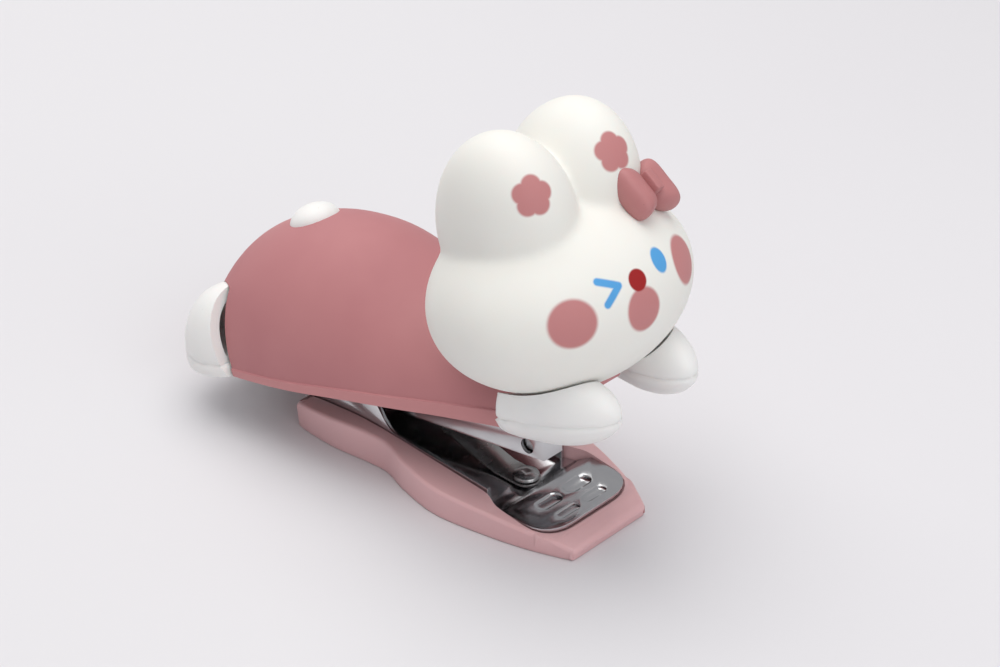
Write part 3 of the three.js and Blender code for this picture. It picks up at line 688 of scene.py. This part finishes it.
# the way that the magazine's nose takes up through the front when the handle is pressed
def openFront(piece):
    half, top = body['wayHalfWidth'], body['wayTop']
    for point, normal in (((0, half, 0), (0, 1, 0)), ((0, -half, 0), (0, 1, 0)), ((0, 0, top), (0, 0, 1))):
        choose(piece, 'FACE', lambda place, normal: normal.x > 0.99)
        bpy.ops.mesh.bisect(plane_co=Vector(point) * mm, plane_no=normal)
        bpy.ops.object.mode_set(mode='OBJECT')
    choose(piece, 'FACE', lambda place, normal: normal.x > 0.99 and abs(place.y) < half and place.z < top)
    bpy.ops.mesh.delete(type='FACE')
    bpy.ops.object.mode_set(mode='OBJECT')


# the band along the rim stands a little proud of the side above it
def raiseBand(piece):
    bandNormal = Vector((-bandSlope(), 0, 1)).normalized()
    for above in (0, body['bandFade']):
        scoreLine(piece, (0, 0, bandStart() + above), bandNormal)
    choose(piece, 'FACE', lambda place, normal: place.z < bandStart() + bandSlope() * place.x
           and normal.z > -0.5 and normal.y * place.y + normal.x * (place.x + 20) > 0
           and abs(place.y) > body['wayHalfWidth'] + 0.2)
    bpy.ops.transform.shrink_fatten(value=body['bandStep'] * mm)
    bpy.ops.object.mode_set(mode='OBJECT')


# the body stops short of each rear foot, with a dark slit ahead of the foot's flat face
def clearFeet(piece):
    x, y, z = foot['centre']
    radii = [radius + body['footGap'] for radius in foot['radii']]
    for side in (-1, 1):
        tool = roundBody('footSpace', (x, side * y, z), radii, around=80, down=56)
        ahead = (foot['faceX'] + body['slitWidth'], 0, rimAt(foot['faceX']))
        cutAway(tool, ahead, Vector((1, 0, foot['faceLean'])).normalized())
        cutWith(piece, tool)


# a post that takes a screw from the handle's frame, square to the track
def screwPost(along, start):
    tilt = math.radians(track['tilt'])
    up = Vector((-math.sin(tilt), 0, math.cos(tilt)))
    seat = Vector(track['pivot']) + Vector((up.z, 0, -up.x)) * along + up * start
    ridge = min(alongStations(body['stations'], body['between']), key=lambda place: abs(place.x - seat.x)).z
    length = (ridge - body['postBelowRidge'] - seat.z) / up.z
    bpy.ops.mesh.primitive_cylinder_add(vertices=32, radius=body['bossRadius'] * mm, depth=length * mm,
                                        location=(seat + up * length / 2) * mm, rotation=(0, -tilt, 0))
    post = named('screwPost')
    setDown(post)
    choose(post, 'FACE', lambda place, normal: normal.z < -0.9)
    bpy.ops.mesh.inset(thickness=body['postWall'] * mm)
    bpy.ops.mesh.extrude_region_move(TRANSFORM_OT_translate={'value': up * body['holeDepth'] * mm})
    bpy.ops.object.mode_set(mode='OBJECT')
    return post


def hollowBody(piece):
    openFront(piece)
    useModifier(piece, 'SOLIDIFY', thickness=body['wall'] * mm, offset=-1, use_rim=True)
    clearFeet(piece)
    raiseBand(piece)
    chest = block('chest', *body['chest'])
    allOf(chest)
    bpy.ops.mesh.bevel(offset=body['chestRound'] * mm, segments=3)
    bpy.ops.object.mode_set(mode='OBJECT')
    joinTo(piece, chest, *[screwPost(along, start) for along, start in body['posts']])
    smoothOff(piece, 40)
    return piece


rabbitBody = hollowBody(modelBody())
finishPiece(rabbitBody, 'handle', 'body_soft_touch', softPink, 'body_shell')
print('body modelled', len(rabbitBody.data.polygons))


# head and ears: one soft moulding, so the ears run into the head in a soft valley

head = {
    'centre': (20.7, 0, 47.2), 'radii': (20.5, 25.7, 16.9), 'pitch': 10, 'floor': 33.3,
    'earCentre': (15.4, 7.6, 60.2), 'earRadii': (13.2, 11, 17.4), 'earPitch': -6, 'earRoll': 8.5,
    'grain': 0.55, 'softening': 14, 'neckStep': 0.4,
}


def modelHead():
    piece = roundBody('rabbitHead', head['centre'], head['radii'], pitch=head['pitch'], around=96, down=64)
    x, y, z = head['earCentre']
    for side in (-1, 1):
        ear = roundBody('ear', (x, side * y, z), head['earRadii'], pitch=head['earPitch'],
                        roll=side * head['earRoll'], around=72, down=48)
        cutAway(ear, (0, side * 0.15, 0), (0, -side, 0))
        cutWith(piece, ear, 'UNION')
    useModifier(piece, 'REMESH', mode='VOXEL', voxel_size=head['grain'] * mm)
    useModifier(piece, 'SMOOTH', factor=0.5, iterations=head['softening'])
    cutAway(piece, (0, 0, head['floor']), (0, 0, -1))
    choose(piece, 'FACE', lambda place, normal: normal.z < -0.95 and place.z < head['floor'] + 0.2)
    bpy.ops.mesh.inset(thickness=head['neckStep'] * mm)
    bpy.ops.transform.translate(value=(0, 0, -0.05 * mm))
    bpy.ops.object.mode_set(mode='OBJECT')
    smoothOff(piece, 50)
    return piece


rabbitHead = modelHead()
finishPiece(rabbitHead, 'handle', 'white_vinyl', whiteVinyl, 'head_shell', 'ear_right', 'ear_left')
print('head modelled', len(rabbitHead.data.polygons))


# paws and feet: white, each with a moulding line just above its lower edge

paw = {
    'centre': (29.8, 12, 32.8), 'radii': (13.3, 5.6, 6.9), 'toeIn': 12, 'pitch': 8, 'backX': 22.9,
    'line': 31.0, 'lip': 0.2, 'chinGap': 0.45, 'rings': 30, 'backRound': 0.5,
}
groove = {'width': 0.34, 'depth': 0.25}


# a shallow line around a piece, in the plane through a point
def scoreGroove(piece, point, normal):
    normal = Vector(normal).normalized()
    for side in (-0.5, 0.5):
        scoreLine(piece, Vector(point) + normal * side * groove['width'], normal)
    choose(piece, 'FACE', lambda place, out: abs((place - Vector(point)).dot(normal)) < groove['width'] * 0.49
           and abs(out.dot(normal)) < 0.5)
    bpy.ops.transform.shrink_fatten(value=-groove['depth'] * mm)
    bpy.ops.object.mode_set(mode='OBJECT')


# the moulding's lower half stands slightly proud, with a fine line where the halves meet
def addLip(piece, point, proud):
    level = Vector((-rimLine['slope'], 0, 1)).normalized()
    scoreGroove(piece, point, level)
    choose(piece, 'FACE', lambda place, out: (place - Vector(point)).dot(level) < -groove['width'] / 2)
    bpy.ops.transform.shrink_fatten(value=proud * mm)
    bpy.ops.object.mode_set(mode='OBJECT')


def modelPaw(name, side):
    long, wide, high = paw['radii']
    rings = []
    for i in range(paw['rings']):
        share = -math.cos(math.pi * (0.2 + 0.795 * i / (paw['rings'] - 1)))    # back to toe
        size = math.sqrt(1 - share ** 4) if share < 0 else math.sqrt(1 - share ** 2)
        rings.append((share * long, 0, wide * size, high * size))
    piece = drawOut(name, rings, 64)
    x, y, z = paw['centre']
    piece.rotation_euler = (0, math.radians(-paw['pitch']), math.radians(-side * paw['toeIn']))
    piece.location = Vector((x, side * y, z)) * mm
    setDown(piece)
    cutAway(piece, (paw['backX'], 0, 0), (-1, 0, 0))
    choose(piece, 'FACE', lambda place, normal: normal.x < -0.99)
    bpy.ops.mesh.bevel(offset=paw['backRound'] * mm, segments=3)
    bpy.ops.object.mode_set(mode='OBJECT')
    chin = roundBody('chinSpace', head['centre'], [r + paw['chinGap'] for r in head['radii']],
                     pitch=head['pitch'], around=96, down=64)
    cutWith(piece, chin, solver='FAST')
    addLip(piece, (x, 0, paw['line']), paw['lip'])
    smoothOff(piece, 50)
    return piece


def modelFoot(name, side):
    x, y, z = foot['centre']
    piece = roundBody(name, (x, side * y, z), foot['radii'], around=80, down=56)
    cutAway(piece, (foot['faceX'], 0, rimAt(foot['faceX'])), Vector((1, 0, foot['faceLean'])).normalized())
    cutAway(piece, (0, 0, rimAt(0)), (rimLine['slope'], 0, -1))
    chooseSharp(piece, 25, lambda place: True)
    bpy.ops.mesh.remove_doubles(threshold=foot['shortEdge'] * mm)
    bpy.ops.object.mode_set(mode='OBJECT')
    addLip(piece, (0, 0, rimAt(0) + foot['lip']), foot['lipProud'])
    # the flat face is a rim round a hollow
    inside = [radius - foot['rim'] for radius in foot['radii']]
    hollow = roundBody(name + 'Hollow', (x, side * y, z), inside, around=64, down=40)
    cutAway(hollow, (0, 0, rimAt(0) + foot['hollow']), (rimLine['slope'], 0, -1))
    cutWith(piece, hollow)
    smoothOff(piece, 50)
    return piece


for end, side in (('Right', -1), ('Left', 1)):
    finishPiece(modelPaw('pawFront' + end, side), 'handle', 'white_plastic', whitePlastic,
                'paw_front_' + end.lower())
    finishPiece(modelFoot('footRear' + end, side), 'handle', 'white_plastic', whitePlastic,
                'foot_rear_' + end.lower())

tail = {'centre': (-41.6, 0, 36.1), 'radii': (4.9, 5.0, 3.5), 'pitch': 27, 'seat': -1.2, 'seatRound': 0.4}


def modelTail():
    piece = roundBody('tailButton', tail['centre'], tail['radii'], pitch=tail['pitch'], around=64, down=40)
    up = Vector((-math.sin(math.radians(tail['pitch'])), 0, math.cos(math.radians(tail['pitch']))))
    seat = Vector(tail['centre']) + up * tail['seat']
    cutAway(piece, seat, -up)
    chooseSharp(piece, 40, lambda place: True)
    bpy.ops.mesh.bevel(offset=tail['seatRound'] * mm, segments=3)
    bpy.ops.object.mode_set(mode='OBJECT')
    smoothOff(piece, 60)
    return piece


finishPiece(modelTail(), 'handle', 'white_plastic', whitePlastic, 'tail_button')
print('paws, feet and tail modelled')


# the bow: two puffed loops drawn together by a knot, made flat and then turned against the ear

bow = {
    'centre': (28.5, 11.9, 63.9), 'outward': (0.55, 0.28, 0.79), 'height': 11.0, 'reach': 6.3, 'thick': 5.4,
    'pinch': 0.62, 'pinchThick': 0.75, 'fullAt': 0.55, 'full': (1.12, 1, 1.35), 'fold': 0.8,
    'knot': (4.2, 2.4, 6.4), 'knotRound': 0.5,
}


def turnToEar(piece):
    outward = Vector(bow['outward']).normalized()
    across = (Vector((0, 1, 0)) - outward * outward.y).normalized()
    basis = Matrix((across.cross(outward), across, outward)).transposed().to_4x4()
    piece.matrix_world = Matrix.Translation(Vector(bow['centre']) * mm) @ basis
    setDown(piece)


def modelLoop(name, side):
    high, reach, thick = bow['height'], bow['reach'], bow['thick']
    piece = block(name, (-high / 2, min(0, side * reach), -thick / 2),
                  (high / 2, max(0, side * reach), thick / 2))
    choose(piece, 'FACE', lambda place, normal: normal.y * side < -0.9)
    bpy.ops.transform.resize(value=(bow['pinch'], 1, bow['pinchThick']), center_override=(0, 0, 0))
    bpy.ops.object.mode_set(mode='OBJECT')
    scoreLine(piece, (0, side * reach * bow['fullAt'], 0), (0, 1, 0))
    scoreLine(piece, (0, 0, 0), (1, 0, 0))
    # full in its middle, with a fold that runs out from the knot
    choose(piece, 'VERT', lambda place, normal: abs(abs(place.y) - reach * bow['fullAt']) < 0.1)
    bpy.ops.transform.resize(value=bow['full'], center_override=(0, 0, 0))
    bpy.ops.object.mode_set(mode='OBJECT')
    choose(piece, 'VERT', lambda place, normal: abs(place.x) < 0.1)
    bpy.ops.transform.resize(value=(1, 1, bow['fold']), center_override=(0, 0, 0))
    bpy.ops.object.mode_set(mode='OBJECT')
    useModifier(piece, 'SUBSURF', levels=3, render_levels=3)
    turnToEar(piece)
    smoothOff(piece, 180)
    return piece


def modelKnot():
    high, wide, thick = bow['knot']
    piece = block('bowKnot', (-high / 2, -wide / 2, -thick / 2), (high / 2, wide / 2, thick / 2))
    allOf(piece)
    bpy.ops.mesh.bevel(offset=bow['knotRound'] * mm, segments=2)
    bpy.ops.object.mode_set(mode='OBJECT')
    useModifier(piece, 'SUBSURF', levels=2, render_levels=2)
    turnToEar(piece)
    smoothOff(piece, 180)
    return piece


finishPiece(modelLoop('bowLoopInner', -1), 'handle', 'bow_vinyl', bowPink, 'bow_loop_inner')
finishPiece(modelLoop('bowLoopOuter', 1), 'handle', 'bow_vinyl', bowPink, 'bow_loop_outer')
finishPiece(modelKnot(), 'handle', 'bow_vinyl', bowPink, 'bow_knot')
print('bow modelled')


# the base: its shoulder is rounded, and a fine line runs above the lower edge

shoe = {
    'shoulder': 0.75, 'inner': 0.25, 'line': 0.5, 'front': 30.0, 'rear': -33.2, 'recessHalfWidth': 12.35,
    'lowerEdge': 1.2, 'recessFloor': 1.0,
}


def outsideOfShoe(place):
    return (abs(place.y) > shoe['recessHalfWidth'] or place.x > shoe['front'] or place.x < shoe['rear']) \
        and place.z > shoe['lowerEdge']


def modelShoe():
    piece = copyOfNode('base_shoe', 'baseShoe')
    chooseSharp(piece, 35, outsideOfShoe)
    bpy.ops.mesh.bevel(offset=shoe['shoulder'] * mm, segments=6, clamp_overlap=False)
    bpy.ops.object.mode_set(mode='OBJECT')
    chooseSharp(piece, 50, lambda place: not outsideOfShoe(place) and place.z > shoe['recessFloor'])
    bpy.ops.mesh.bevel(offset=shoe['inner'] * mm, segments=2, clamp_overlap=True)
    bpy.ops.object.mode_set(mode='OBJECT')
    scoreGroove(piece, (0, 0, shoe['line']), (0, 0, 1))
    smoothOff(piece, 38)
    return piece


finishPiece(modelShoe(), 'base', 'base_plastic', basePink, 'base_shoe')
print('base modelled')


# pressed and turned steel: the CAD shape with its edges broken

brokenEdges = {
    # node: new piece, body, slot, edge radius, sharper than
    'base_channel': ('baseChannel', 'base', 'chrome_sheet', 0.16, 35),
    'magazine': ('magazineTrack', 'magazine', 'chrome_sheet', 0.12, 35),
    'handle_frame': ('handleFrame', 'handle', 'frame_steel', 0.15, 35),
    'driver_blade': ('driverBlade', 'handle', 'frame_steel', 0.06, 35),
    'pusher': ('staplePusher', 'pusher', 'frame_steel', 0.1, 35),
    'pivot_pin': ('pivotPin', 'base', 'pin_steel', 0.15, 50),
    'spring_rivet': ('springRivet', 'base', 'pin_steel', 0.08, 40),
    'guide_rod': ('guideRod', 'magazine', 'pin_steel', 0.06, 50),
    'driver_rivet_left': ('driverRivetLeft', 'handle', 'pin_steel', 0.08, 50),
    'driver_rivet_right': ('driverRivetRight', 'handle', 'pin_steel', 0.08, 50),
    'shell_screw_rear': ('shellScrewRear', 'handle', 'pin_steel', 0.1, 50),
    'shell_screw_front': ('shellScrewFront', 'handle', 'pin_steel', 0.1, 50),
    'head_screw': ('headScrew', 'handle', 'pin_steel', 0.1, 50),
    'leaf_spring': ('leafSpring', 'base', 'spring_steel', 0.08, 35),
    'return_spring': ('returnSpring', 'magazine', 'spring_steel', 0, 60),
}
rivetSize = 0.94    # the heads of the driver's rivets stay clear of the pusher at the bottom of the stroke
steelPieces = {}
for node, (name, ridesOn, slotName, edge, sharper) in brokenEdges.items():
    piece = copyOfNode(node, name)
    if edge:
        chooseSharp(piece, sharper, lambda place: True)
        bpy.ops.mesh.bevel(offset=edge * mm, segments=2, clamp_overlap=True)
        bpy.ops.object.mode_set(mode='OBJECT')
    smoothOff(piece, 32 if edge else 70)
    finishPiece(piece, ridesOn, slotName, slotMaterials[slotName], node)
    if name.startswith('driverRivet'):
        middle = sum((corner.co for corner in piece.data.vertices), Vector()) / len(piece.data.vertices)
        allOf(piece)
        bpy.ops.transform.resize(value=(rivetSize,) * 3, center_override=middle)
        bpy.ops.object.mode_set(mode='OBJECT')
    steelPieces[name] = piece
print('steel pieces finished')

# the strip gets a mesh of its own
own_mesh(steelPieces['leafSpring'])

pusherCoil = {
    'turns': 14, 'radius': 1.35, 'wire': 0.22, 'steps': 20, 'from': 4.4, 'to': 42.9, 'rodHeight': 0.2,
    'keep': 0.22,
}


def modelPusherSpring():
    c = pusherCoil
    bpy.ops.mesh.primitive_circle_add(vertices=10, radius=c['wire'] * mm, location=(0, 0, c['radius'] * mm),
                                      rotation=(math.radians(90), 0, 0))
    piece = named('pusherSpring')
    setDown(piece)
    pitch = (c['to'] - c['from']) / c['turns']
    useModifier(piece, 'SCREW', axis='X', angle=math.tau, steps=c['steps'], render_steps=c['steps'],
                screw_offset=pitch * mm, iterations=c['turns'])
    openUp(piece, 'EDGE')
    bpy.ops.mesh.select_all(action='DESELECT')
    bpy.ops.mesh.select_non_manifold()
    bpy.ops.mesh.fill_holes(sides=12)
    bpy.ops.object.mode_set(mode='OBJECT')
    faceOut(piece)
    piece.location = (c['from'] * mm, 0, c['rodHeight'] * mm)
    setDown(piece)
    tilt = Matrix.Rotation(math.radians(-track['tilt']), 4, 'Y')
    piece.matrix_world = Matrix.Translation(Vector(track['pivot']) * mm) @ tilt
    setDown(piece)
    smoothOff(piece, 60)
    return piece


pusherSpring = modelPusherSpring()
finishPiece(pusherSpring, 'magazine', 'spring_steel', springSteel, 'pusher_spring')
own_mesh(pusherSpring)
print('springs finished')


# camera, light and floor

camera = {'place': (0.25281, -0.25968, 0.25080), 'forward': (-0.5869, 0.6185, -0.5225), 'lens': 85}


def setCamera():
    data = bpy.data.cameras.new('camera')
    data.lens = camera['lens']
    data.sensor_width = 36
    data.clip_start = 0.01
    viewer = bpy.data.objects.new('camera', data)
    bpy.context.scene.collection.objects.link(viewer)
    viewer.location = camera['place']
    viewer.rotation_euler = Vector(camera['forward']).to_track_quat('-Z', 'Y').to_euler()
    bpy.context.scene.camera = viewer


lights = {
    # place, what it faces, width, watts, tint
    'overhead': ((-0.1, 0.03, 0.75), (0, 0, 0.02), 0.8, 4.4, (1, 0.99, 0.97)),
    'left window': ((-0.55, 0.1, 0.35), (0, 0, 0.03), 0.6, 0.7, (1, 0.99, 0.97)),
    'front window': ((0.62, -0.12, 0.42), (0, 0, 0.03), 0.6, 1.8, (0.97, 0.99, 1)),
}

room = {
    'sky': (0.86, 0.86, 0.88, 1), 'skyStrength': 0.5, 'floorSize': 6, 'floorRoughness': 0.85,
    'floor': (0.69, 0.675, 0.70), 'floorPatch': (0.705, 0.695, 0.715),
}


def setLights():
    for name, (place, target, size, power, tint) in lights.items():
        data = bpy.data.lights.new(name, 'AREA')
        data.shape = 'SQUARE'
        data.size = size
        data.energy = power
        data.color = tint
        lamp = bpy.data.objects.new(name, data)
        bpy.context.scene.collection.objects.link(lamp)
        lamp.location = place
        lamp.rotation_euler = (Vector(target) - Vector(place)).to_track_quat('-Z', 'Y').to_euler()
    world = bpy.data.worlds.new('paleStudio')
    world.use_nodes = True
    sky = world.node_tree.nodes['Background']
    sky.inputs['Color'].default_value = room['sky']
    sky.inputs['Strength'].default_value = room['skyStrength']
    bpy.context.scene.world = world


def layFloor():
    bpy.ops.mesh.primitive_plane_add(size=room['floorSize'], location=(0, 0, 0))
    floor = named('floor')
    material, tree, shader, place = newMaterial('paperFloor')
    grain = useGroup(tree, mouldGrain, place, -1300, 0, Grain=900.0, Patch=3.0)
    uneven = stretchValue(tree, grain.outputs['Unevenness'], 0, 1, -1050, 100)
    colour = mixColour(tree, uneven, room['floor'], room['floorPatch'], -800, 200)
    tree.links.new(colour, shader.inputs['Base Color'])
    shader.inputs['Roughness'].default_value = room['floorRoughness']
    addBump(tree, shader, grain.outputs['Height'], 0.1, 0.00005)
    floor.data.materials.append(material)


setCamera()
setLights()
bpy.context.scene.view_settings.view_transform = 'Standard'
layFloor()
print('camera, light and floor set')

putDown()
